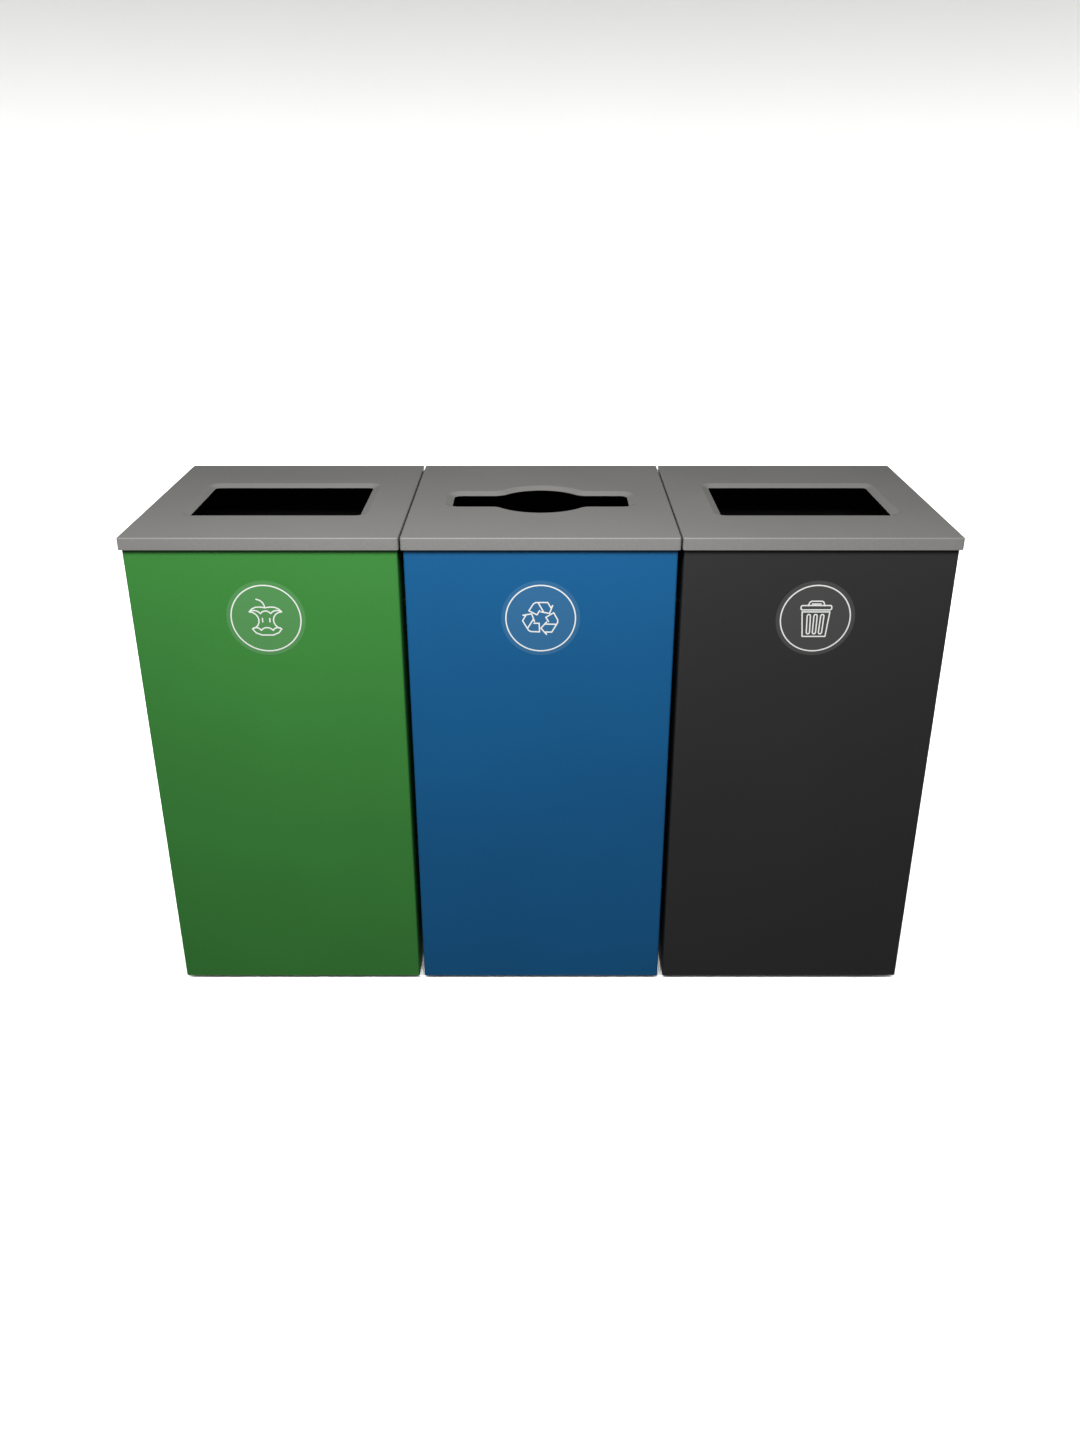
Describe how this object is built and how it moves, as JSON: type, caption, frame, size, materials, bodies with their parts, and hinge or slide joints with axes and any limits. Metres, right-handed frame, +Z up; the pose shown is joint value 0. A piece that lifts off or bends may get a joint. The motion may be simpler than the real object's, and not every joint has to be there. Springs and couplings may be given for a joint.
{
  "type": "recycling bin station",
  "caption": "Row of square steel bins with hinged lids, shaped openings and lift-out liners for sorting rubbish.",
  "frame": {"origin": "on the floor under the middle of the station", "axes": "+Z up, fronts with the signs face -Y, +X to the right of someone facing the fronts"},
  "size_m": [1.2168, 0.434, 0.783],
  "materials": {
    "green_powder_coat": "fine-textured powder coat",
    "blue_powder_coat": "fine-textured powder coat",
    "charcoal_powder_coat": "fine-textured powder coat",
    "warm_grey_powder_coat": "fine-textured powder coat",
    "zinc_steel": "zinc plated",
    "stainless_wire": "drawn wire",
    "black_rubber": "matt",
    "black_plastic": "moulded",
    "green_tint_vinyl": "satin film",
    "blue_tint_vinyl": "satin film",
    "charcoal_tint_vinyl": "satin film",
    "white_vinyl": "satin film"
  },
  "bodies": {
    "station": {"organics_shell": "green_powder_coat", "organics_rear_panel": "green_powder_coat", "organics_base_pan": "green_powder_coat", "organics_feet": "black_rubber", "organics_foot_screws": "zinc_steel", "organics_foot_nuts": "zinc_steel", "organics_bumpers": "black_rubber", "organics_body_leaf": "zinc_steel", "organics_body_rivets": "zinc_steel", "organics_hinge_pin": "stainless_wire", "organics_sign_disc": "green_tint_vinyl", "organics_sign_lines": "white_vinyl", "recycling_shell": "blue_powder_coat", "recycling_rear_panel": "blue_powder_coat", "recycling_base_pan": "blue_powder_coat", "recycling_feet": "black_rubber", "recycling_foot_screws": "zinc_steel", "recycling_foot_nuts": "zinc_steel", "recycling_bumpers": "black_rubber", "recycling_body_leaf": "zinc_steel", "recycling_body_rivets": "zinc_steel", "recycling_hinge_pin": "stainless_wire", "recycling_sign_disc": "blue_tint_vinyl", "recycling_sign_lines": "white_vinyl", "waste_shell": "charcoal_powder_coat", "waste_rear_panel": "charcoal_powder_coat", "waste_base_pan": "charcoal_powder_coat", "waste_feet": "black_rubber", "waste_foot_screws": "zinc_steel", "waste_foot_nuts": "zinc_steel", "waste_bumpers": "black_rubber", "waste_body_leaf": "zinc_steel", "waste_body_rivets": "zinc_steel", "waste_hinge_pin": "stainless_wire", "waste_sign_disc": "charcoal_tint_vinyl", "waste_sign_lines": "white_vinyl", "link_spacers": "zinc_steel", "link_bolts": "zinc_steel", "link_nuts": "zinc_steel"},
    "organics_lid": {"organics_lid": "warm_grey_powder_coat", "organics_lid_leaf": "zinc_steel"},
    "organics_liner": {"organics_liner": "black_plastic"},
    "organics_bail": {"organics_bail": "stainless_wire"},
    "recycling_lid": {"recycling_lid": "warm_grey_powder_coat", "recycling_lid_leaf": "zinc_steel"},
    "recycling_liner": {"recycling_liner": "black_plastic"},
    "recycling_bail": {"recycling_bail": "stainless_wire"},
    "waste_lid": {"waste_lid": "warm_grey_powder_coat", "waste_lid_leaf": "zinc_steel"},
    "waste_liner": {"waste_liner": "black_plastic"},
    "waste_bail": {"waste_bail": "stainless_wire"}
  },
  "joints": [
    {"name": "organics_lid_hinge", "type": "hinge", "parent": "station", "child": "organics_lid", "pos_m": [-0.4064, 0.212, 0.7655], "axis": [-1, 0, 0], "range_deg": [0, 100]},
    {"name": "organics_liner_lift", "type": "slide", "parent": "station", "child": "organics_liner", "axis": [0, 0, 1], "range_m": [0, 0.02]},
    {"name": "organics_bail_swing", "type": "hinge", "parent": "organics_liner", "child": "organics_bail", "pos_m": [-0.4064, 0, 0.5623], "axis": [1, 0, 0], "range_deg": [0, 180]},
    {"name": "recycling_lid_hinge", "type": "hinge", "parent": "station", "child": "recycling_lid", "pos_m": [0, 0.212, 0.7655], "axis": [-1, 0, 0], "range_deg": [0, 100]},
    {"name": "recycling_liner_lift", "type": "slide", "parent": "station", "child": "recycling_liner", "axis": [0, 0, 1], "range_m": [0, 0.02]},
    {"name": "recycling_bail_swing", "type": "hinge", "parent": "recycling_liner", "child": "recycling_bail", "pos_m": [0, 0, 0.5623], "axis": [1, 0, 0], "range_deg": [0, 180]},
    {"name": "waste_lid_hinge", "type": "hinge", "parent": "station", "child": "waste_lid", "pos_m": [0.4064, 0.212, 0.7655], "axis": [-1, 0, 0], "range_deg": [0, 100]},
    {"name": "waste_liner_lift", "type": "slide", "parent": "station", "child": "waste_liner", "axis": [0, 0, 1], "range_m": [0, 0.02]},
    {"name": "waste_bail_swing", "type": "hinge", "parent": "waste_liner", "child": "waste_bail", "pos_m": [0.4064, 0, 0.5623], "axis": [1, 0, 0], "range_deg": [0, 180]}
  ]
}
